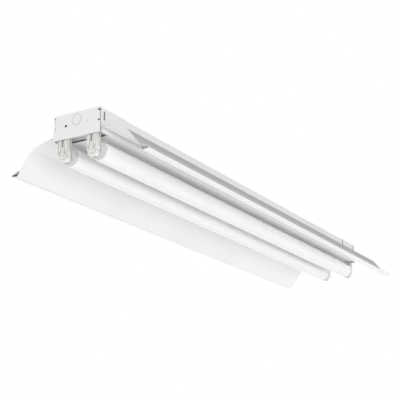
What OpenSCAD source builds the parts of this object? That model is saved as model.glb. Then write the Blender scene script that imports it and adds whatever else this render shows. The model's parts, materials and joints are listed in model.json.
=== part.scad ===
// Two-lamp fluorescent light fixture with a formed sheet-metal reflector.
// X runs along the lamps, Y across them and Z up.
// The origin is the middle of the top face, where the fixture is fixed to a ceiling.
// The left end is at -X and the front is at -Y.

/* [Housing] */
// Width across the end housings
housing_width = 108; // [100:1:140]
// Height from the top face to the underside of the reflector's middle
housing_height = 50; // [50:1:70]
// Thickness of the channel's sheet
channel_sheet = 0.9; // [0.7:0.1:1.2]
// Thickness of the end housings' sheet
end_housing_sheet = 0.8; // [0.6:0.1:1.2]
// Length of channel that each end housing covers
end_housing_length = 85; // [60:1:150]
// Inner radius of the bends in the channel
channel_bend = 1.2; // [0.8:0.1:2]
// Width of the channel's turned-in bottom lips
channel_lip = 9; // [6:0.5:14]
// Thickness of the end plates
end_plate_sheet = 1; // [0.8:0.1:1.2]
// Gap between an end plate and the end of the channel
end_plate_gap = 2; // [0.8:0.1:3]

/* [Mounting] */
// Diameter of the two ceiling screw holes
mount_hole_d = 7.1; // [5:0.1:9]
// Distance of each ceiling screw hole from its end of the fixture
mount_hole_inset = 46; // [30:1:60]
// Diameter of the supply wiring hole, which is also the knockouts' diameter
wiring_hole_d = 22.2; // [16:0.1:28]
// Distance of the top knockouts from the middle
top_knockout_x = 320; // [310:1:380]

/* [Reflector] */
// Thickness of the reflector's sheet
reflector_sheet = 0.8; // [0.6:0.1:1]
// Height of the step beside the channel where each wing starts
step_height = 10.2; // [7:0.1:14]
// Slope of a wing where it leaves the step
step_slope = 8; // [4:0.5:12]
// Distance of the crease from the housing's side
crease_reach = 53.4; // [46:0.1:61]
// Depth of the crease below the reflector's middle
crease_drop = 3.7; // [1:0.1:6]
// Angle folded at the crease
crease_fold = 24; // [18:1:28]
// Distance of the rim from the housing's side
rim_reach = 87.5; // [84:0.5:96]
// Depth of the rim below the reflector's middle
rim_drop = 50.5; // [46:0.5:56]
// Width of the lip outside the rim
lip_width = 12; // [8:0.5:16]
// Width of the flange that is folded back over the lip
hem_return = 15.5; // [5:0.5:16]
// Distance of the wings' ends from the fixture's ends
wing_inset = 6; // [2:0.5:12]

/* [Lamps] */
// Length of a lamp between its two base faces
lamp_length = 1199.4; // [900:0.1:1500]
// Diameter of the glass tube
lamp_d = 38.1; // [30:0.1:40]
// Thickness of the glass
glass = 0.9; // [0.7:0.1:1.2]
// Distance of a lamp's axis inside the housing's side
lamp_inset = 21; // [18:0.5:24]
// Depth of the lamps' axes below the reflector's middle
lamp_drop = 26; // [25:0.5:32]
// Diameter of a lamp's metal end cap
cap_d = 35.5; // [28:0.1:37]
// Length of a lamp's metal end cap
cap_length = 13; // [10:0.5:16]
// Distance between the two pins of a cap
pin_spacing = 12.7; // [12:0.1:14]
// Diameter of a pin
pin_d = 2.35; // [2:0.05:2.6]
// Length of a pin
pin_length = 7.1; // [6.6:0.1:7.4]

/* [Lampholders] */
// Width of a lampholder
holder_width = 22.5; // [22:0.1:28]
// Depth of a lampholder along the lamp
holder_depth = 13.7; // [13.5:0.1:15]
// Distance of a lampholder's back from the fixture's end
holder_inset = 2.2; // [2:0.1:4]
// Gap between a lampholder and the lamp's base face
holder_gap = 0.4; // [0.3:0.1:0.8]
// Radius of a lampholder's round nose
nose_r = 10; // [9.5:0.1:11]
// Depth of a lampholder's nose below the lamp's axis
nose_drop = 17.6; // [17:0.1:21]
// Radius of the turning rotor where it shows
rotor_r = 8.4; // [8.4:0.1:8.6]
// Running clearance round the rotor
rotor_fit = 0.08; // [0.04:0.01:0.1]
// Height of the recess that holds the lampholders above the reflector's middle
socket_recess = 9; // [8:0.5:11]
// Height of the dark slot between the recess's inner wall and the reflector
slot_height = 2.8; // [1:0.1:4]

/* [Ballast] */
// Length of the ballast with its feet
ballast_length = 241; // [200:1:260]
// Width of the ballast
ballast_width = 60; // [50:1:62]
// Height of the ballast
ballast_height = 36; // [28:0.5:37]
// Distance of the ballast's near foot from the middle of the fixture
ballast_x = 62; // [40:1:66]
// Diameter of an insulated lead
lead_d = 2.4; // [1.8:0.1:2.6]

/* [Hidden] */
$fn = 64;
// Overlap of joined forms, reach of a cut past its piece, length of a drill and gap at a seat
tiny = 0.02;
cut = 1;
drill = 6;
seat_gap = 0.1;
// Side play of the channel in the end housings, and margin of an end plate inside their outline
housing_fit = 0.5;
plate_margin = 0.2;

// Places along the fixture, measured from its left end
end_plate_x = 0.4;
holder_front = holder_inset + holder_depth;
lamp_face = holder_front + holder_gap;
fixture_length = lamp_length + 2 * lamp_face;
recess_length = holder_front + 12;
channel_start = end_plate_x + end_plate_sheet + end_plate_gap;
mount_spacing = fixture_length - 2 * mount_hole_inset;
bridge_x = fixture_length / 2 - 216;

// Heights below the top face
floor_z = -housing_height;
floor_top = floor_z + reflector_sheet;
channel_top = -end_housing_sheet;
channel_ceiling = channel_top - channel_sheet;
lamp_z = floor_z - lamp_drop;
nose_z = lamp_z - nose_drop;

// Widths from the middle
lamp_spacing = housing_width - 2 * lamp_inset;
crease_y = housing_width / 2 + crease_reach;
rim_y = housing_width / 2 + rim_reach;
channel_half = housing_width / 2 - end_housing_sheet - housing_fit;
channel_inner = channel_half - channel_sheet;
end_plate_half = housing_width / 2 - plate_margin;
flange_half = channel_inner - 0.3;

// Slot in the housing's sides that takes the tab of an end plate's flange
hook_x = 10.5;
hook_slot = 5.5;
hook_top = -7.5;
hook_height = 17;
hook_relief = 3;
hook_bend = 0.8;
hook_proud = 0.3;

// End plate features, with heights above the reflector's middle
plate_knockout_z = 34.5;
plate_hole_y = 25;
plate_hole_z = 26;
plate_hole_d = 5.5;

// Socket plate and bridges
socket_plate_sheet = 0.8;
socket_plate_x = end_plate_x + end_plate_sheet + 0.3;
plate_bend = 0.8;
bridge_sheet = 1.2;
bridge_height = 8;
bridge_bend = 1;
bridge_width = 24;
screw_r = 2.4;
thread_fit = 0.05;

// Bends of the reflector, and the fold of its hem
reflector_clearance = 0.3;
corner_bend = 1;
step_bend = 1.5;
crease_bend = 2;
rim_bend = 1.5;
hem_bend = 1.2;
hem_fold = 150;
lip_rise = 5;

// Ballast feet and studs, and the ground screw
foot_length = 15.5;
foot_sheet = 0.9;
stud_length = 9;
stud_places = [ballast_x + foot_length / 2, ballast_x + ballast_length - foot_length / 2];
ground_x = -50;
ground_shank_r = 1.9;

// Lampholder parts, with places measured from the fixture's end
holder_top = floor_z + socket_recess - socket_plate_sheet;
holder_joint = holder_inset + 3;
neck_top = floor_z + socket_recess + 7;
neck_half = 10.4;
neck_depth = 9.4;
catch = 1.2;
wide_end = 5;
cover_drop = 11.5;
cover_nose_r = 9;
cavity_wall = 0.8;
pin_end = lamp_face - pin_length;
rotor_back = holder_front - 4.7;
rotor_slot = pin_d + 0.25;
entry_slot = pin_d + 0.65;
mouth = 10;
window = 4.2;
window_end = 11.5;
rib = 1;
contact_x = holder_joint + 3.3;
contact_width = rotor_back - 0.4 - contact_x;
contact_y = (pin_spacing + pin_d) / 2 + 0.08;
terminal_y = contact_y + 0.2;
terminal_depth = 4;
feed_hole_x = holder_joint + 7.1;
jumper_hole_x = holder_joint + 2;

// Heights of the leads
lead_exit_z = channel_ceiling - 26;
lead_lane_z = floor_top + channel_sheet + bridge_height + lead_d / 2 + seat_gap;

// Lamp caps and glass
cap_sheet = 0.4;
cap_face = 1.2;
glass_start = 2;

white_paint = [0.94, 0.94, 0.93];
bare_steel = [0.72, 0.73, 0.74];
socket_white = [0.93, 0.92, 0.89];
glass_white = [0.97, 0.97, 0.98];
brass = [0.78, 0.66, 0.38];

// A strip of sheet seen on edge, formed by flats and bends one after the other.
// Each step is [length, 0] for a flat or [inner radius, turn] for a bend.
// A bend runs a little into what comes before and after it, so that they join.
module strip(steps, sheet, i = 0) {
    if (i < len(steps)) {
        size = steps[i][0];
        turn = steps[i][1];
        overlap = turn == 0 ? 0 : tiny / size * 180 / PI;
        if (turn == 0) {
            square([size, sheet]);
            translate([size, 0]) strip(steps, sheet, i + 1);
        } else if (turn > 0) {
            translate([0, sheet + size])
                sector(size, size + sheet, -90 - overlap, turn - 90 + overlap);
            translate([(size + sheet) * sin(turn), (size + sheet) * (1 - cos(turn))])
                rotate(turn) strip(steps, sheet, i + 1);
        } else {
            translate([0, -size])
                sector(size, size + sheet, 90 + turn - overlap, 90 + overlap);
            translate([size * sin(-turn), size * (cos(turn) - 1)])
                rotate(turn) strip(steps, sheet, i + 1);
        }
    }
}

// A sector of a ring between two angles
module sector(inner, outer, start, end) {
    reach = 2 * outer;
    middle = (start + end) / 2;
    intersection() {
        difference() {
            circle(r = outer, $fn = 180);
            circle(r = inner, $fn = 180);
        }
        polygon([
            [0, 0],
            reach * [cos(start), sin(start)],
            reach * [cos(middle), sin(middle)],
            reach * [cos(end), sin(end)]
        ]);
    }
}

// A rectangle with round corners, made of true arcs
module rounded_rectangle(width, height, r) {
    translate([-width / 2 + r, -height / 2]) square([width - 2 * r, height]);
    translate([-width / 2, -height / 2 + r]) square([width, height - 2 * r]);
    for (sx = [-1, 1], sy = [-1, 1])
        translate([sx * (width / 2 - r), sy * (height / 2 - r)]) circle(r = r);
}

// Puts a section drawn across the fixture between two places along it
module across(start, end) {
    translate([start, 0, 0]) rotate([90, 0, 90]) linear_extrude(end - start) children();
}

// Moves a form drawn from the left end to its place at either end
module at_end(side) {
    if (side == "left")
        translate([-fixture_length / 2, 0, 0]) children();
    else
        mirror([1, 0, 0]) translate([-fixture_length / 2, 0, 0]) children();
}

function lamp_y(lamp) = (lamp == "front" ? -1 : 1) * lamp_spacing / 2;

// The slots for the end plate's tabs, through the channel and the end housing
module hook_slots() {
    depth = 2 * (housing_width / 2 - channel_inner) + 2 * cut;
    for (sy = [-1, 1])
        translate([hook_x, sy * housing_width / 2 - depth / 2, hook_top - hook_height])
            cube([hook_slot, depth, hook_height]);
}

// A ring pressed part of the way through the sheet leaves a knockout
module knockout_ring(sheet) {
    ring_width = 0.8;
    difference() {
        cylinder(d = wiring_hole_d, h = sheet, center = true);
        cylinder(d = wiring_hole_d - 2 * ring_width, h = 2 * sheet, center = true);
    }
}

module channel_section(half, ceiling, sheet, bend, bottom, lip) {
    leg = ceiling - bend - bottom - (lip > 0 ? bend + sheet : 0);
    steps = lip > 0
        ? [[half - sheet - bend, 0], [bend, -90], [leg, 0], [bend, -90], [lip - bend - sheet, 0]]
        : [[half - sheet - bend, 0], [bend, -90], [leg, 0]];
    for (side = [0, 1])
        mirror([side, 0]) translate([0, ceiling]) strip(steps, sheet);
}

module channel_housing() {
    color(white_paint) difference() {
        across(-fixture_length / 2 + channel_start, fixture_length / 2 - channel_start)
            channel_section(channel_half, channel_ceiling, channel_sheet,
                            channel_bend, floor_top, channel_lip);
        for (side = ["left", "right"]) at_end(side) {
            hook_slots();
            // The lips stop short of the recess for the lampholders
            translate([-cut, -channel_inner + channel_bend, floor_z - cut])
                cube([recess_length + cut, 2 * (channel_inner - channel_bend), 12]);
        }
        for (sx = [-1, 1]) {
            translate([sx * mount_spacing / 2, 0, channel_top])
                cylinder(d = mount_hole_d, h = drill, center = true);
            translate([sx * top_knockout_x, 0, channel_top]) knockout_ring(channel_sheet);
        }
        translate([0, 0, channel_top]) cylinder(d = wiring_hole_d, h = drill, center = true);
        translate([ground_x, 0, channel_top])
            cylinder(r = ground_shank_r + seat_gap, h = drill, center = true);
    }
}

// A saddle of sheet over the last stretch of the channel
module end_housing(side) {
    color(white_paint) at_end(side) difference() {
        across(channel_start, end_housing_length)
            channel_section(housing_width / 2, channel_top, end_housing_sheet,
                            channel_bend + channel_sheet, floor_top + 0.4, 0);
        hook_slots();
        translate([mount_hole_inset, 0, 0]) cylinder(d = mount_hole_d, h = drill, center = true);
    }
}

module left_end_housing() { end_housing("left"); }
module right_end_housing() { end_housing("right"); }

// An end plate with a knockout, a pilot hole, a dimple and a flange at each side.
// The flange is bent back beside the channel and ends in a tab that is bent out
// through the slot in the housing. A relief is cut in the plate above and below it.
module end_plate(side) {
    plate_top = -plate_margin;
    flange_start = flange_half - 2 * hook_relief;
    tab_x = hook_x + 3 * seat_gap;
    flange = [
        [2 * hook_relief - hook_bend - end_plate_sheet, 0], [hook_bend, -90],
        [tab_x - end_plate_x - end_plate_sheet - 2 * hook_bend, 0], [hook_bend, 90],
        [housing_width / 2 + hook_proud - flange_half - hook_bend, 0]
    ];
    color(white_paint) at_end(side) {
        difference() {
            translate([end_plate_x, -end_plate_half, floor_z])
                cube([end_plate_sheet, 2 * end_plate_half, plate_top - floor_z]);
            translate([end_plate_x, 0, floor_z + plate_knockout_z])
                rotate([0, 90, 0]) knockout_ring(end_plate_sheet);
            translate([0, plate_hole_y, floor_z + plate_hole_z])
                rotate([0, 90, 0]) cylinder(d = plate_hole_d, h = drill, center = true);
            translate([end_plate_x, -plate_hole_y, floor_z + plate_hole_z])
                rotate([0, 90, 0]) cylinder(d = plate_hole_d, h = end_plate_sheet, center = true);
            for (flip = [0, 1])
                mirror([0, flip, 0])
                    translate([0, flange_half - hook_relief, hook_top - hook_height - hook_relief])
                        cube([drill, 2 * hook_relief, hook_height + 2 * hook_relief]);
        }
        for (flip = [0, 1])
            mirror([0, flip, 0])
                translate([end_plate_x + end_plate_sheet, flange_start, hook_top - hook_height + seat_gap])
                    rotate([0, 0, 90])
                        linear_extrude(hook_height - 2 * seat_gap) strip(flange, end_plate_sheet);
    }
}

module left_end_plate() { end_plate("left"); }
module right_end_plate() { end_plate("right"); }

// The plate above the recess that the lampholders snap into
module socket_plate(side) {
    plate_half = channel_inner;
    flange = 9;
    step = [
        [recess_length - socket_plate_x - plate_bend - socket_plate_sheet, 0], [plate_bend, -90],
        [socket_recess - socket_plate_sheet - plate_bend - reflector_sheet - slot_height, 0]
    ];
    wall = [[plate_half - plate_bend - socket_plate_sheet, 0], [plate_bend, 90], [flange, 0]];
    color(white_paint) at_end(side) difference() {
        union() {
            translate([socket_plate_x, plate_half - seat_gap, holder_top])
                rotate([90, 0, 0]) linear_extrude(2 * (plate_half - seat_gap)) strip(step, socket_plate_sheet);
            for (flip = [0, 1])
                mirror([0, flip, 0]) across(socket_plate_x + 10, recess_length - 4)
                    translate([0, holder_top]) strip(wall, socket_plate_sheet);
        }
        for (lamp = ["front", "rear"])
            translate([holder_joint - 0.2, lamp_y(lamp) - neck_half - 0.2, holder_top - cut])
                cube([neck_depth + 0.4, 2 * neck_half + 0.4, 4]);
    }
}

module left_socket_plate() { socket_plate("left"); }
module right_socket_plate() { socket_plate("right"); }

// A cross member on the channel's lips, with a drawn and tapped hole for a reflector screw
module bridge(side) {
    half_section = [
        [bridge_width / 2 - bridge_sheet - bridge_bend, 0], [bridge_bend, 90],
        [bridge_height - bridge_sheet - bridge_bend, 0]
    ];
    seat = floor_top + channel_sheet;
    color(bare_steel) translate([side * bridge_x, 0, seat]) difference() {
        union() {
            rotate([90, 0, 0]) linear_extrude(2 * (channel_inner - channel_bend), center = true)
                for (flip = [0, 1]) mirror([flip, 0]) strip(half_section, bridge_sheet);
            cylinder(r = screw_r + bridge_sheet, h = bridge_height / 2);
        }
        cylinder(r = screw_r + thread_fit, h = 3 * bridge_height, center = true);
    }
}

module left_bridge() { bridge(-1); }
module right_bridge() { bridge(1); }

// Turn and radius of an arc over a chord that starts at a given slope
function arc_turn(chord, slope) = 2 * (atan2(-chord[1], chord[0]) - slope);
function arc_radius(chord, slope) = norm(chord) / (2 * sin(arc_turn(chord, slope) / 2));

// The reflector is one sheet: a middle that closes the channel, a step up each
// side of it, a wing in two arcs with a crease between them, and a folded lip.
module reflector_section() {
    wall_y = housing_width / 2 + reflector_clearance + reflector_sheet;
    first = [wall_y + step_bend * (1 + sin(step_slope)), step_height - step_bend * (1 - cos(step_slope))];
    crease = [crease_y, -crease_drop];
    chord_1 = crease - first;
    turn_1 = arc_turn(chord_1, step_slope);
    slope_1 = step_slope + turn_1;
    slope_2 = slope_1 + crease_fold;
    crease_end = crease + crease_bend * [sin(slope_2) - sin(slope_1), cos(slope_2) - cos(slope_1)];
    chord_2 = [rim_y, -rim_drop] - crease_end;
    turn_2 = arc_turn(chord_2, slope_2);
    lip_turn = slope_2 + turn_2 + lip_rise;
    steps = [
        [wall_y - reflector_sheet - corner_bend, 0], [corner_bend, 90],
        [step_height - corner_bend - reflector_sheet - step_bend, 0], [step_bend, -90 - step_slope],
        [arc_radius(chord_1, step_slope), -turn_1], [crease_bend, -crease_fold],
        [arc_radius(chord_2, slope_2), -turn_2], [rim_bend, lip_turn],
        [lip_width - hem_bend, 0], [hem_bend, hem_fold], [hem_return, 0]
    ];
    for (flip = [0, 1])
        mirror([flip, 0]) translate([0, floor_z]) strip(steps, reflector_sheet);
}

module reflector() {
    color(white_paint) difference() {
        across(-fixture_length / 2 + wing_inset, fixture_length / 2 - wing_inset) reflector_section();
        for (side = ["left", "right"]) at_end(side)
            translate([-cut, -housing_width / 2, floor_z - cut])
                cube([recess_length + cut, housing_width, cut + reflector_sheet + 0.6]);
        for (side = [-1, 1])
            translate([side * bridge_x, 0, floor_z]) cylinder(r = screw_r + 0.4, h = drill, center = true);
    }
}

// Slotted thumb screws that hold the reflector up against the bridges
module reflector_screws() {
    shank = 9;
    washer_r = 6.5;
    washer = 1;
    head_r = 5.2;
    head = 5;
    driver_slot = 1.4;
    color(bare_steel) for (side = [-1, 1])
        translate([side * bridge_x, 0, floor_z]) difference() {
            union() {
                cylinder(r = screw_r, h = shank);
                translate([0, 0, -washer]) cylinder(r = washer_r, h = washer);
                translate([0, 0, -washer - head]) cylinder(r = head_r, h = head);
            }
            translate([0, 0, -washer - head])
                cube([2 * washer_r, driver_slot, 2 * driver_slot], center = true);
        }
}

module ballast_case() {
    can_start = ballast_x + foot_length;
    can_end = ballast_x + ballast_length - foot_length;
    can_height = ballast_height - foot_sheet;
    can_corner = 3;
    slot_width = 2 * screw_r + 1;
    color([0.16, 0.16, 0.17]) difference() {
        union() {
            across(can_start, can_end)
                translate([0, channel_ceiling - foot_sheet - can_height / 2])
                    rounded_rectangle(ballast_width, can_height, can_corner);
            translate([ballast_x, -ballast_width / 2, channel_ceiling - foot_sheet])
                cube([ballast_length, ballast_width, foot_sheet]);
            across(can_start, can_end)
                translate([-ballast_width / 2 + can_corner, channel_ceiling - foot_sheet - can_corner])
                    square([ballast_width - 2 * can_corner, can_corner + tiny]);
        }
        for (x = stud_places) translate([x, 0, channel_ceiling]) {
            direction = x < ballast_x + ballast_length / 2 ? -1 : 1;
            cylinder(d = slot_width, h = drill, center = true);
            translate([direction * foot_length / 2, 0, 0])
                cube([foot_length, slot_width, drill], center = true);
        }
    }
}

module ballast_studs() {
    color(bare_steel) for (x = stud_places)
        translate([x, 0, channel_ceiling - stud_length]) cylinder(r = screw_r, h = stud_length);
}

module ballast_nuts() {
    nut_height = 4;
    nut_r = 4.6;
    washer_r = 5.5;
    washer = 1;
    color(bare_steel) for (x = stud_places)
        translate([x, 0, channel_ceiling - foot_sheet - nut_height]) difference() {
            union() {
                cylinder(r = nut_r, h = nut_height, $fn = 6);
                translate([0, 0, nut_height - washer]) cylinder(r = washer_r, h = washer);
            }
            cylinder(r = screw_r + thread_fit, h = 4 * nut_height, center = true);
        }
}

module ground_screw() {
    head_r = 4.2;
    head = 4;
    washer_r = 5.5;
    washer = 1;
    color([0.2, 0.5, 0.28]) translate([ground_x, 0, channel_ceiling]) {
        translate([0, 0, -head]) cylinder(r = head_r, h = head - washer + tiny, $fn = 6);
        translate([0, 0, -washer]) cylinder(r = washer_r, h = washer);
        translate([0, 0, -washer]) cylinder(r = ground_shank_r, h = washer + channel_sheet);
    }
}

// Cuts each corner of a route twice, so that a lead bends smoothly
function corner_cut(p) = concat(
    [p[0]],
    [for (i = [1 : len(p) - 2]) each [
        p[i] + (p[i - 1] - p[i]) * min(0.5, 5 / norm(p[i - 1] - p[i])),
        p[i] + (p[i + 1] - p[i]) * min(0.5, 5 / norm(p[i + 1] - p[i]))
    ]],
    [p[len(p) - 1]]
);
function round_cut(p) = concat(
    [p[0]],
    [for (i = [1 : len(p) - 2]) each [
        p[i] + (p[i - 1] - p[i]) * min(0.25, 1.5 / norm(p[i - 1] - p[i])),
        p[i] + (p[i + 1] - p[i]) * min(0.25, 1.5 / norm(p[i + 1] - p[i]))
    ]],
    [p[len(p) - 1]]
);
function unit(v) = v / norm(v);
function tangents(p) = [
    for (i = [0 : len(p) - 1])
        i == 0 ? unit(p[1] - p[0])
        : i == len(p) - 1 ? unit(p[i] - p[i - 1])
        : unit(unit(p[i + 1] - p[i]) + unit(p[i] - p[i - 1]))
];
function carried(t, n, i = 1) =
    i == len(t) ? n
    : let (last = n[i - 1]) carried(t, concat(n, [unit(last - (last * t[i]) * t[i])]), i + 1);

// A round lead swept along its route
module lead(route) {
    sides = 8;
    path = round_cut(corner_cut(route));
    along = tangents(path);
    start = abs(along[0][1]) < 0.9 ? [0, 1, 0] : [0, 0, 1];
    sideways = carried(along, [unit(start - (start * along[0]) * along[0])]);
    rings = len(path);
    points = [
        for (i = [0 : rings - 1], k = [0 : sides - 1])
            path[i] + lead_d / 2 * (cos(360 * k / sides) * sideways[i]
                                    + sin(360 * k / sides) * cross(along[i], sideways[i]))
    ];
    walls = [
        for (i = [0 : rings - 2], k = [0 : sides - 1])
            let (a = i * sides + k, b = i * sides + (k + 1) % sides)
                each [[a, b + sides, b], [a, a + sides, b + sides]]
    ];
    caps = [
        for (k = [1 : sides - 2])
            each [[0, k, k + 1], [(rings - 1) * sides, (rings - 1) * sides + k + 1, (rings - 1) * sides + k]]
    ];
    polyhedron(points = points, faces = concat(walls, caps), convexity = 6);
}

// The route from a ballast end to a terminal hole of a lampholder
function feed(side, exit_y, terminal_y) = let (
    s = side == "left" ? -1 : 1,
    exit_x = side == "left" ? ballast_x + foot_length : ballast_x + ballast_length - foot_length,
    end_x = s * (fixture_length / 2 - feed_hole_x)
) [
    [exit_x + s * 0.1, exit_y, lead_exit_z],
    [exit_x + s * 16, exit_y, lead_exit_z],
    [exit_x + s * 40, (exit_y + terminal_y) / 2, lead_lane_z],
    [exit_x + s * 62, terminal_y, lead_lane_z],
    [end_x - s * 45, terminal_y, lead_lane_z],
    [end_x - s * 22, terminal_y, neck_top + 6],
    [end_x, terminal_y, neck_top + 6],
    [end_x, terminal_y, neck_top - terminal_depth + 0.2]
];

// The route from one right lampholder's terminal to the other's
function jumper(reach, height) = [
    for (p = [[-reach, neck_top - terminal_depth + 0.2], [-reach, height], [reach, height],
              [reach, neck_top - terminal_depth + 0.2]])
        [fixture_length / 2 - jumper_hole_x, p[0], p[1]]
];

// The route of a supply lead from the ballast past the supply hole
function supply_lead(s) = let (
    high = channel_ceiling - lead_d / 2 - 2 * seat_gap,
    beside_hole = s * (wiring_hole_d / 2 + 6.9)
) [
    [ballast_x + foot_length - seat_gap, s * 8, lead_exit_z],
    [ballast_x + 2, s * 8, lead_exit_z],
    [ballast_x - foot_length - 11.4, beside_hole, high - 10.6],
    [wiring_hole_d / 2 + 4, beside_hole, high],
    [-wiring_hole_d / 2 - foot_length - 4.5, beside_hole, high]
];

module black_lead() {
    color([0.1, 0.1, 0.1]) lead(supply_lead(-1));
}

module white_lead() {
    color([0.9, 0.9, 0.88]) lead(supply_lead(1));
}

module red_leads() {
    color([0.7, 0.1, 0.1]) for (s = [-1, 1])
        lead(feed("left", -20 + s * 2.5, lamp_y("front") + s * terminal_y));
}

module blue_leads() {
    color([0.12, 0.2, 0.6]) for (s = [-1, 1])
        lead(feed("left", 20 + s * 2.5, lamp_y("rear") + s * terminal_y));
}

module yellow_leads() {
    color([0.9, 0.75, 0.1]) {
        for (s = [-1, 1]) lead(feed("right", -20 + s * 2.5, lamp_y("front") + s * terminal_y));
        lead(jumper(lamp_spacing / 2 + terminal_y, neck_top + 14));
        lead(jumper(lamp_spacing / 2 - terminal_y, neck_top + 8));
    }
}

// Outline of a lampholder: a broad upper part and a narrower round nose
module holder_outline(end, r) {
    shoulder = lamp_z - wide_end;
    translate([0, (holder_top + shoulder) / 2])
        rounded_rectangle(holder_width, holder_top - shoulder, 1.5);
    translate([0, end + r]) circle(r = r);
}

module at_holder(side, lamp) {
    at_end(side) translate([0, lamp_y(lamp), 0]) children();
}

// Turns a form drawn about the Z axis to lie along the lamp's axis
module on_axis(x) {
    translate([x, 0, lamp_z]) rotate([0, 90, 0]) children();
}

module holder_body(side, lamp) {
    flange_r = rotor_r + cavity_wall;
    color(socket_white) at_holder(side, lamp) difference() {
        union() {
            across(holder_joint, holder_front) holder_outline(nose_z, nose_r);
            translate([holder_joint, -neck_half, holder_top - 1])
                cube([neck_depth, 2 * neck_half, neck_top - holder_top + 1]);
            translate([holder_joint + 2.5, -neck_half - catch, holder_top + socket_plate_sheet + seat_gap])
                cube([neck_depth - 5, 2 * (neck_half + catch), 2.4]);
        }
        // The cavity behind the rotor and the bore that the rotor shows through
        on_axis(holder_joint - cut) cylinder(r = flange_r + 0.3, h = rotor_back + 1.1 - holder_joint + cut);
        on_axis(holder_joint) cylinder(r = rotor_r + rotor_fit, h = holder_depth + cut);
        // The way in for the lamp's pins, with a flared mouth
        translate([pin_end - 0.3, -entry_slot / 2, nose_z - cut])
            cube([holder_front, entry_slot, lamp_z - nose_z + cut]);
        across(pin_end - 0.3, holder_front + cut) polygon([
            [-mouth / 2, nose_z - cut], [-mouth / 2, nose_z + 1], [0, nose_z + 9],
            [mouth / 2, nose_z + 1], [mouth / 2, nose_z - cut]
        ]);
        for (s = [-1, 1]) {
            // A pocket for each contact, and two terminal holes above it
            translate([contact_x - 0.3, s * (contact_y + 0.2) - 0.5, lamp_z])
                cube([contact_width + 0.6, 1, neck_top - terminal_depth - lamp_z]);
            translate([feed_hole_x - 7.4, s * (contact_y + 0.2) - 0.5, neck_top - terminal_depth - 2.4])
                cube([9.4, 1, 2.4 + tiny]);
            for (x = [feed_hole_x, jumper_hole_x])
                translate([x, s * terminal_y, neck_top - terminal_depth])
                    cylinder(d = lead_d + 0.4, h = terminal_depth + cut);
            // A shallow waist in each side
            translate([holder_joint + 2, s * holder_width / 2 - 0.8, lamp_z + 4])
                cube([5, 1.6, holder_top - lamp_z - 8]);
        }
        // The window that the back's opening shows
        translate([holder_joint - cut, -window / 2, lamp_z + window_end])
            cube([4 + cut, window, holder_top - lamp_z - window_end - 0.5]);
    }
}

// The back cover with its ribs, window and bearing ring
module holder_back(side, lamp) {
    color(socket_white) at_holder(side, lamp) difference() {
        union() {
            across(holder_inset, holder_joint) holder_outline(lamp_z - cover_drop, cover_nose_r);
            for (y = [-1, 1], place = [0.36, 0.88])
                translate([holder_inset - rib, y * place * holder_width / 2 - rib / 2, lamp_z - wide_end + 1])
                    cube([rib + tiny, rib, floor_z - lamp_z + wide_end - 1.5]);
            on_axis(holder_inset - 0.6) difference() {
                cylinder(r = 7.6, h = 0.6 + tiny);
                translate([0, 0, -cut]) cylinder(r = 6.4, h = 4);
            }
        }
        translate([0, -window / 2, lamp_z + window_end]) cube([10, window, holder_top - lamp_z]);
    }
}

module holder_contacts(side, lamp) {
    color(brass) at_holder(side, lamp) for (s = [-1, 1]) {
        translate([contact_x, s * (contact_y + 0.2) - 0.2, lamp_z - 3.5])
            cube([contact_width, 0.4, neck_top - terminal_depth - 0.2 - lamp_z + 3.5]);
        translate([feed_hole_x - 7, s * (contact_y + 0.2) - 0.2, neck_top - terminal_depth - 2])
            cube([8.6, 0.4, 1.8]);
    }
}

// The rotor turns with the lamp, and its slot meets the body's slot after a quarter turn
module holder_rotor(side, lamp) {
    color(socket_white) at_holder(side, lamp) difference() {
        union() {
            on_axis(rotor_back) cylinder(r = rotor_r + cavity_wall, h = 1);
            on_axis(rotor_back) cylinder(r = rotor_r, h = holder_front + 0.1 - rotor_back);
        }
        translate([rotor_back - cut, -30, lamp_z - rotor_slot / 2])
            cube([10, 30 + pin_spacing / 2, rotor_slot]);
        on_axis(rotor_back - cut) translate([0, pin_spacing / 2, 0]) cylinder(d = rotor_slot, h = 10);
    }
}

module left_front_holder_body() { holder_body("left", "front"); }
module left_rear_holder_body() { holder_body("left", "rear"); }
module right_front_holder_body() { holder_body("right", "front"); }
module right_rear_holder_body() { holder_body("right", "rear"); }
module left_front_holder_back() { holder_back("left", "front"); }
module left_rear_holder_back() { holder_back("left", "rear"); }
module right_front_holder_back() { holder_back("right", "front"); }
module right_rear_holder_back() { holder_back("right", "rear"); }
module left_front_holder_contacts() { holder_contacts("left", "front"); }
module left_rear_holder_contacts() { holder_contacts("left", "rear"); }
module right_front_holder_contacts() { holder_contacts("right", "front"); }
module right_rear_holder_contacts() { holder_contacts("right", "rear"); }
module left_front_holder_rotor() { holder_rotor("left", "front"); }
module left_rear_holder_rotor() { holder_rotor("left", "rear"); }
module right_front_holder_rotor() { holder_rotor("right", "front"); }
module right_rear_holder_rotor() { holder_rotor("right", "rear"); }

// Outline of the glass from its sealed end to the middle of the lamp
function glass_outline(inset) = let (
    neck = cap_d / 2 - cap_sheet - 0.1,
    shoulder_start = cap_length - 0.2,
    shoulder_end = cap_length + 5,
    steps = 8
) [
    [neck - inset, glass_start],
    for (i = [0 : steps])
        [neck - inset + (lamp_d / 2 - neck) * (1 - cos(180 * i / steps)) / 2,
         shoulder_start + (shoulder_end - shoulder_start) * i / steps]
];

// A lamp's tube is open at both ends inside its caps
module lamp_tube(lamp) {
    outer = glass_outline(0);
    inner = glass_outline(glass);
    back = [for (i = [len(inner) - 1 : -1 : 0]) inner[i]];
    color(glass_white) translate([0, lamp_y(lamp), 0]) for (flip = [0, 1])
        mirror([flip, 0, 0]) on_axis(-lamp_length / 2) rotate_extrude($fn = 96) polygon(concat(
            outer, [[lamp_d / 2, lamp_length / 2 + tiny], [lamp_d / 2 - glass, lamp_length / 2 + tiny]], back
        ));
}

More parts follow.
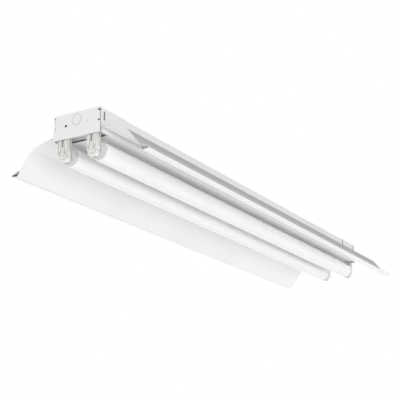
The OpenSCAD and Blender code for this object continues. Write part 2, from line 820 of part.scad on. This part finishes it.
module lamp_cap(side, lamp) {
    color(bare_steel) at_holder(side, lamp) on_axis(lamp_face) difference() {
        cylinder(d = cap_d, h = cap_length, $fn = 96);
        translate([0, 0, cap_face]) cylinder(d = cap_d - 2 * cap_sheet, h = cap_length, $fn = 96);
        for (s = [-1, 1]) translate([0, s * pin_spacing / 2, 0])
            cylinder(d = pin_d + 0.1, h = 6, center = true);
        // A shallow ring round the face
        translate([0, 0, -cut]) difference() {
            cylinder(d = cap_d + 2, h = cut + 1);
            cylinder(d = cap_d - 2, h = cut + 1);
        }
    }
}

module lamp_pins(side, lamp) {
    color(brass) at_holder(side, lamp) for (s = [-1, 1])
        on_axis(pin_end) translate([0, s * pin_spacing / 2, 0]) {
            cylinder(d1 = 0.5 * pin_d, d2 = pin_d, h = 0.7);
            translate([0, 0, 0.7 - tiny]) cylinder(d = pin_d, h = pin_length + cap_face - 0.7 + tiny);
            translate([0, 0, pin_length + cap_face]) cylinder(d = pin_d + 1.6, h = 0.5);
        }
}

// A glass stem at each end of the tube holds a coiled filament on two wires
module lamp_cathodes(lamp) {
    neck = cap_d / 2 - cap_sheet - 0.1 - glass - seat_gap;
    color([0.8, 0.85, 0.85]) for (side = ["left", "right"]) at_holder(side, lamp) on_axis(lamp_face) {
        translate([0, 0, glass_start + 1]) cylinder(r = neck, h = 1);
        translate([0, 0, glass_start + 1]) cylinder(d = 9, h = 24);
        for (s = [-1, 1]) translate([0, s * 3.5, 20]) cylinder(d = 1, h = 25);
        translate([0, 0, 44]) rotate([90, 0, 0]) cylinder(d = 2, h = 10, center = true);
    }
}

module front_lamp_tube() { lamp_tube("front"); }
module rear_lamp_tube() { lamp_tube("rear"); }
module front_lamp_left_cap() { lamp_cap("left", "front"); }
module front_lamp_right_cap() { lamp_cap("right", "front"); }
module rear_lamp_left_cap() { lamp_cap("left", "rear"); }
module rear_lamp_right_cap() { lamp_cap("right", "rear"); }
module front_lamp_left_pins() { lamp_pins("left", "front"); }
module front_lamp_right_pins() { lamp_pins("right", "front"); }
module rear_lamp_left_pins() { lamp_pins("left", "rear"); }
module rear_lamp_right_pins() { lamp_pins("right", "rear"); }
module front_lamp_cathodes() { lamp_cathodes("front"); }
module rear_lamp_cathodes() { lamp_cathodes("rear"); }

channel_housing();
left_end_housing();
right_end_housing();
left_end_plate();
right_end_plate();
left_socket_plate();
right_socket_plate();
left_bridge();
right_bridge();
reflector();
reflector_screws();
ballast_case();
ballast_studs();
ballast_nuts();
ground_screw();
black_lead();
white_lead();
red_leads();
blue_leads();
yellow_leads();
left_front_holder_body();
left_front_holder_back();
left_front_holder_contacts();
left_front_holder_rotor();
left_rear_holder_body();
left_rear_holder_back();
left_rear_holder_contacts();
left_rear_holder_rotor();
right_front_holder_body();
right_front_holder_back();
right_front_holder_contacts();
right_front_holder_rotor();
right_rear_holder_body();
right_rear_holder_back();
right_rear_holder_contacts();
right_rear_holder_rotor();
front_lamp_tube();
front_lamp_left_cap();
front_lamp_right_cap();
front_lamp_left_pins();
front_lamp_right_pins();
front_lamp_cathodes();
rear_lamp_tube();
rear_lamp_left_cap();
rear_lamp_right_cap();
rear_lamp_left_pins();
rear_lamp_right_pins();
rear_lamp_cathodes();
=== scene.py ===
import json
import math
import bpy
from mathutils import Matrix, Vector

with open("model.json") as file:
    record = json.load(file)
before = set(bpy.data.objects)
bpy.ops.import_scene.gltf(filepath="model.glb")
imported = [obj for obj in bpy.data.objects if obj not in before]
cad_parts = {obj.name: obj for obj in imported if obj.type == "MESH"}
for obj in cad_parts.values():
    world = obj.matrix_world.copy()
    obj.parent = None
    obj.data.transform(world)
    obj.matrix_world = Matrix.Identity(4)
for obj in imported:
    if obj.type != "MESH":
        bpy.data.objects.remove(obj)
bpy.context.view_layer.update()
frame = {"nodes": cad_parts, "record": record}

# Camera, in metres and radians, at the photograph's viewing angle
CAMERA_PLACE = Vector((-2.0585, -1.0992, -0.7232))
CAMERA_YAW = 0.52484
CAMERA_PITCH = 0.29523
CAMERA_ROLL = -0.01222
CAMERA_LENS = 92.96
SENSOR_WIDTH = 36.0


def make_camera():
    forward = Vector((
        math.cos(CAMERA_PITCH) * math.cos(CAMERA_YAW),
        math.cos(CAMERA_PITCH) * math.sin(CAMERA_YAW),
        math.sin(CAMERA_PITCH),
    ))
    level = forward.cross(Vector((0, 0, 1))).normalized()
    upright = level.cross(forward)
    right = math.cos(CAMERA_ROLL) * level + math.sin(CAMERA_ROLL) * upright
    up = right.cross(forward)
    data = bpy.data.cameras.new("camera")
    data.sensor_fit = "HORIZONTAL"
    data.sensor_width = SENSOR_WIDTH
    data.lens = CAMERA_LENS
    camera = bpy.data.objects.new("camera", data)
    turn = Matrix((right, up, -forward)).transposed().to_4x4()
    camera.matrix_world = Matrix.Translation(CAMERA_PLACE) @ turn
    bpy.context.scene.collection.objects.link(camera)
    bpy.context.scene.camera = camera


make_camera()
bpy.context.scene.view_settings.view_transform = "Standard"


# Materials
# Values of a noise at which a mottled colour is at its darkest and lightest
MOTTLE_DARK = 0.3
MOTTLE_LIGHT = 0.7
# Shares of its surroundings that a closed crevice and an open face see, between which the painted crevice
# shade fades out
CREVICE_CLOSED = 0.25
CREVICE_OPEN = 0.8
CREVICE_SAMPLES = 8
WIRE_ROUGHNESS = 0.45


class Finish:
    """A node material around one Principled shader."""

    def __init__(self, name, **fixed):
        self.material = bpy.data.materials.new(name)
        self.material.use_nodes = True
        self.nodes = self.material.node_tree.nodes
        self.links = self.material.node_tree.links
        self.shader = self.nodes["Principled BSDF"]
        self.coordinates = self.nodes.new("ShaderNodeTexCoord")
        for socket, value in fixed.items():
            self.shader.inputs[socket.replace("_", " ")].default_value = value

    def noise(self, scale, detail=4.0, stretch=(1, 1, 1)):
        """Noise in metres of the object's own space, stretched along its axes."""
        mapping = self.nodes.new("ShaderNodeMapping")
        mapping.inputs["Scale"].default_value = stretch
        self.links.new(self.coordinates.outputs["Object"], mapping.inputs["Vector"])
        texture = self.nodes.new("ShaderNodeTexNoise")
        texture.inputs["Scale"].default_value = scale
        texture.inputs["Detail"].default_value = detail
        self.links.new(mapping.outputs["Vector"], texture.inputs["Vector"])
        return texture.outputs["Fac"]

    def ramp(self, value, stops):
        ramp = self.nodes.new("ShaderNodeValToRGB")
        elements = ramp.color_ramp.elements
        while len(elements) < len(stops):
            elements.new(0.5)
        for element, (place, colour) in zip(elements, stops):
            element.position = place
            element.color = (*colour, 1)
        self.links.new(value, ramp.inputs["Fac"])
        return ramp.outputs["Color"]

    def mottle(self, value, dark, light):
        """The colour runs from dark to light along a noise."""
        colour = self.ramp(value, [(MOTTLE_DARK, dark), (MOTTLE_LIGHT, light)])
        self.links.new(colour, self.shader.inputs["Base Color"])

    def dim(self, value, shares):
        """Multiply the colour by a grey share that follows the value."""
        colour = self.shader.inputs["Base Color"]
        source = colour.links[0].from_socket
        dimmed = self.nodes.new("ShaderNodeMix")
        dimmed.data_type = "RGBA"
        dimmed.blend_type = "MULTIPLY"
        dimmed.inputs["Factor"].default_value = 1.0
        self.links.new(source, dimmed.inputs["A"])
        fall = self.ramp(value, [(place, (share, share, share)) for place, share in shares])
        self.links.new(fall, dimmed.inputs["B"])
        self.links.new(dimmed.outputs["Result"], colour)

    def shade_upper_faces(self, shares):
        """Painted shade: the colour falls to a share of itself on faces that look up, by how far each
        looks up.
        """
        facing = self.nodes.new("ShaderNodeSeparateXYZ")
        self.links.new(self.coordinates.outputs["Normal"], facing.inputs["Vector"])
        self.dim(facing.outputs["Z"], shares)

    def paint_crevice_shade(self, reach, shadow):
        """Painted shade in seams and slots: the colour falls to a share of itself where walls stand
        close.
        """
        near = self.nodes.new("ShaderNodeAmbientOcclusion")
        near.samples = CREVICE_SAMPLES
        near.inputs["Distance"].default_value = reach
        self.dim(near.outputs["AO"], [(CREVICE_CLOSED, shadow), (CREVICE_OPEN, 1.0)])

    def roughness(self, value, low, high):
        spread = self.nodes.new("ShaderNodeMapRange")
        spread.inputs["To Min"].default_value = low
        spread.inputs["To Max"].default_value = high
        self.links.new(value, spread.inputs["Value"])
        self.links.new(spread.outputs["Result"], self.shader.inputs["Roughness"])

    def bump(self, value, strength, distance):
        bump = self.nodes.new("ShaderNodeBump")
        bump.inputs["Strength"].default_value = strength
        bump.inputs["Distance"].default_value = distance
        self.links.new(value, bump.inputs["Height"])
        self.links.new(bump.outputs["Normal"], self.shader.inputs["Normal"])


def shade(colour, factor):
    return tuple(min(1.0, c * factor) for c in colour)


def enamel(name, colour, upper_shade=None):
    """Baked enamel on sheet metal, with a faint orange peel and painted shade in its crevices. Painted
    shade, when given, darkens faces that look up.
    """
    finish = Finish(name, Specular_IOR_Level=0.16)
    finish.mottle(finish.noise(6.0), shade(colour, 0.975), shade(colour, 1.02))
    # Painted shade on faces that look up, darkest along the crease
    if upper_shade is not None:
        finish.shade_upper_faces(upper_shade)
    # Painted shade in seams, slots and creases, darker where walls stand close
    finish.paint_crevice_shade(reach=0.006, shadow=0.1)
    finish.roughness(finish.noise(40.0), low=0.4, high=0.5)
    finish.bump(finish.noise(900.0, detail=2.0), strength=0.08, distance=0.0004)
    return finish.material


def steel(name, colour):
    """Plated steel with fine rolling lines along X."""
    finish = Finish(name, Metallic=1.0)
    streaks = finish.noise(500.0, detail=3.0, stretch=(0.03, 1, 1))
    finish.mottle(streaks, shade(colour, 0.88), shade(colour, 1.06))
    finish.roughness(finish.noise(60.0), low=0.28, high=0.45)
    finish.bump(streaks, strength=0.1, distance=0.0002)
    return finish.material


def plastic(name, colour, rough):
    """Moulded plastic with a soft sheen and a slight mottle."""
    finish = Finish(name, Specular_IOR_Level=0.45)
    finish.mottle(finish.noise(90.0), shade(colour, 0.96), shade(colour, 1.02))
    # Painted shade in seams, slots and ribs, darker where walls stand close
    finish.paint_crevice_shade(reach=0.003, shadow=0.15)
    finish.roughness(finish.noise(150.0), low=rough - 0.05, high=rough + 0.08)
    finish.bump(finish.noise(1500.0, detail=2.0), strength=0.06, distance=0.0002)
    return finish.material


def lamp_glass():
    """Glass with a white phosphor coat on its inside, seen through a clear gloss."""
    finish = Finish("lamp_glass", Specular_IOR_Level=0.5, Coat_Weight=0.8, Coat_Roughness=0.04)
    coat = finish.noise(25.0, detail=5.0, stretch=(0.3, 1, 1))
    finish.mottle(coat, (0.92, 0.922, 0.925), (0.95, 0.95, 0.95))
    finish.roughness(finish.noise(200.0), low=0.16, high=0.24)
    finish.bump(finish.noise(300.0, detail=2.0), strength=0.02, distance=0.0002)
    return finish.material


def metal(name, colour, low, high, metallic=1.0):
    """Turned or drawn metal with rings round the lamp's axis."""
    finish = Finish(name, Metallic=metallic)
    rings = finish.noise(900.0, detail=2.0, stretch=(1, 0.02, 0.02))
    finish.mottle(rings, shade(colour, 0.8), shade(colour, 1.08))
    finish.roughness(finish.noise(120.0), low, high)
    finish.bump(rings, strength=0.15, distance=0.0003)
    return finish.material


def clear_glass():
    """Glass of the stems that carry the cathodes."""
    finish = Finish("stem_glass", Transmission_Weight=0.9, IOR=1.5)
    finish.mottle(finish.noise(80.0), (0.85, 0.9, 0.9), (0.95, 0.98, 0.98))
    finish.roughness(finish.noise(90.0), low=0.03, high=0.1)
    return finish.material


WHITE = (0.89, 0.89, 0.885)
FINISHES = {
    "white_enamel": enamel("white_enamel", WHITE),
    "zinc_steel": steel("zinc_steel", (0.70, 0.71, 0.73)),
    "ballast_enamel": enamel("ballast_enamel", (0.03, 0.03, 0.033)),
    "green_steel": enamel("green_steel", (0.03, 0.20, 0.06)),
    "black_insulation": plastic("black_insulation", (0.02, 0.02, 0.02), WIRE_ROUGHNESS),
    "white_insulation": plastic("white_insulation", (0.80, 0.80, 0.77), WIRE_ROUGHNESS),
    "red_insulation": plastic("red_insulation", (0.50, 0.02, 0.02), WIRE_ROUGHNESS),
    "blue_insulation": plastic("blue_insulation", (0.02, 0.05, 0.40), WIRE_ROUGHNESS),
    "yellow_insulation": plastic("yellow_insulation", (0.80, 0.55, 0.02), WIRE_ROUGHNESS),
    "holder_plastic": plastic("holder_plastic", (0.86, 0.85, 0.82), rough=0.3),
    "contact_bronze": metal("contact_bronze", (0.70, 0.48, 0.22), low=0.25, high=0.4),
    "lamp_glass": lamp_glass(),
    "cap_aluminium": metal("cap_aluminium", (0.84, 0.85, 0.86), low=0.3, high=0.45, metallic=0.55),
    "pin_brass": metal("pin_brass", (0.75, 0.6, 0.32), low=0.2, high=0.3),
    "stem_glass": clear_glass(),
}


# Share of the colour that is left on the reflector's back under painted shade, by how far a face looks
# up.
# The faces along the crease look up by about 0.67 and carry the darkest painted shade, a painted crease
# shadow.
UPPER_FACE_SHADE = [(0.2, 1.0), (0.3, 0.86), (0.48, 0.86), (0.62, 0.5), (0.7, 0.42), (0.8, 0.76)]
REFLECTOR_FINISH = enamel("reflector_enamel", WHITE, UPPER_FACE_SHADE)


def dress_cad_nodes():
    for row in frame["record"]["subparts"]:
        node = frame["nodes"][row["node"]]
        finish = FINISHES[row["material_slot"]]
        node.data.materials.clear()
        node.data.materials.append(REFLECTOR_FINISH if row["node"] == "reflector" else finish)


dress_cad_nodes()


# Floor, light and background
FLOOR_Z = -3.8
FLOOR_HALF = 12.0

# Brightness of the studio's walls, by the direction in which each lies
STUDIO = [
    ((-1, 0, 0), 0.8),
    ((1, 0, 0), 1.0),
    ((0, -1, 0), 0.4),
    ((0, 1, 0), 0.8),
    ((0, 0, 1), 0.35),
]
MIDDLE = (0, 0, -0.05)
NEAR_END = (-0.5, 0, -0.05)
FAR_END = (0.4, 0, -0.05)
# Name, place, target, side of the square and power of each lamp
LAMPS = [
    ("key", (-0.8, -4.2, -1.5), MIDDLE, 2.0, 37),
    ("near_fill", (-3.0, 0.3, -0.6), NEAR_END, 1.5, 8),
    ("under_fill", (0, 0, -2.3), MIDDLE, 4.0, 21),
    ("far_fill", (1.0, -0.3, -1.2), FAR_END, 0.8, 2.1),
    ("side_fill", (-2.2, -2.4, -0.6), NEAR_END, 1.5, 11),
]


def make_floor():
    mesh = bpy.data.meshes.new("floor")
    signs = ((-1, -1), (1, -1), (1, 1), (-1, 1))
    corners = [(sx * FLOOR_HALF, sy * FLOOR_HALF, FLOOR_Z) for sx, sy in signs]
    mesh.from_pydata(corners, [], [(0, 1, 2, 3)])
    floor = bpy.data.objects.new("floor", mesh)
    bpy.context.scene.collection.objects.link(floor)
    finish = Finish("floor_finish")
    finish.mottle(finish.noise(0.8), (0.83, 0.83, 0.83), (0.87, 0.87, 0.87))
    finish.roughness(finish.noise(3.0), low=0.6, high=0.8)
    mesh.materials.append(finish.material)


def area_light(name, place, target, size, power):
    data = bpy.data.lights.new(name, "AREA")
    data.shape = "SQUARE"
    data.size = size
    data.energy = power
    light = bpy.data.objects.new(name, data)
    light.location = place
    light.rotation_euler = (Vector(target) - Vector(place)).to_track_quat("-Z", "Y").to_euler()
    light.visible_camera = False
    light.visible_glossy = False
    bpy.context.scene.collection.objects.link(light)


def make_world():
    """A soft studio whose walls have their own brightness, with a white background."""
    world = bpy.data.worlds.new("studio")
    bpy.context.scene.world = world
    world.use_nodes = True
    nodes = world.node_tree.nodes
    links = world.node_tree.links
    nodes.clear()
    output = nodes.new("ShaderNodeOutputWorld")
    mix = nodes.new("ShaderNodeMixShader")
    backdrop = nodes.new("ShaderNodeBackground")
    backdrop.inputs["Color"].default_value = (1, 1, 1, 1)
    soft = nodes.new("ShaderNodeBackground")
    direction = nodes.new("ShaderNodeTexCoord")
    path = nodes.new("ShaderNodeLightPath")
    total = None
    for side, brightness in STUDIO:
        facing = nodes.new("ShaderNodeVectorMath")
        facing.operation = "DOT_PRODUCT"
        facing.inputs[1].default_value = side
        links.new(direction.outputs["Generated"], facing.inputs[0])
        lobe = nodes.new("ShaderNodeMath")
        lobe.operation = "MAXIMUM"
        lobe.inputs[1].default_value = 0
        links.new(facing.outputs["Value"], lobe.inputs[0])
        add = nodes.new("ShaderNodeMath")
        add.operation = "MULTIPLY_ADD"
        add.inputs[1].default_value = brightness
        add.inputs[2].default_value = 0
        links.new(lobe.outputs["Value"], add.inputs[0])
        if total is not None:
            links.new(total, add.inputs[2])
        total = add.outputs["Value"]
    links.new(total, soft.inputs["Strength"])
    seen = path.outputs["Is Camera Ray"]
    for kind in ("Is Glossy Ray", "Is Transmission Ray"):
        either = nodes.new("ShaderNodeMath")
        either.operation = "MAXIMUM"
        links.new(seen, either.inputs[0])
        links.new(path.outputs[kind], either.inputs[1])
        seen = either.outputs["Value"]
    links.new(seen, mix.inputs["Fac"])
    links.new(soft.outputs["Background"], mix.inputs[1])
    links.new(backdrop.outputs["Background"], mix.inputs[2])
    links.new(mix.outputs["Shader"], output.inputs["Surface"])


make_floor()
make_world()
for lamp in LAMPS:
    area_light(*lamp)
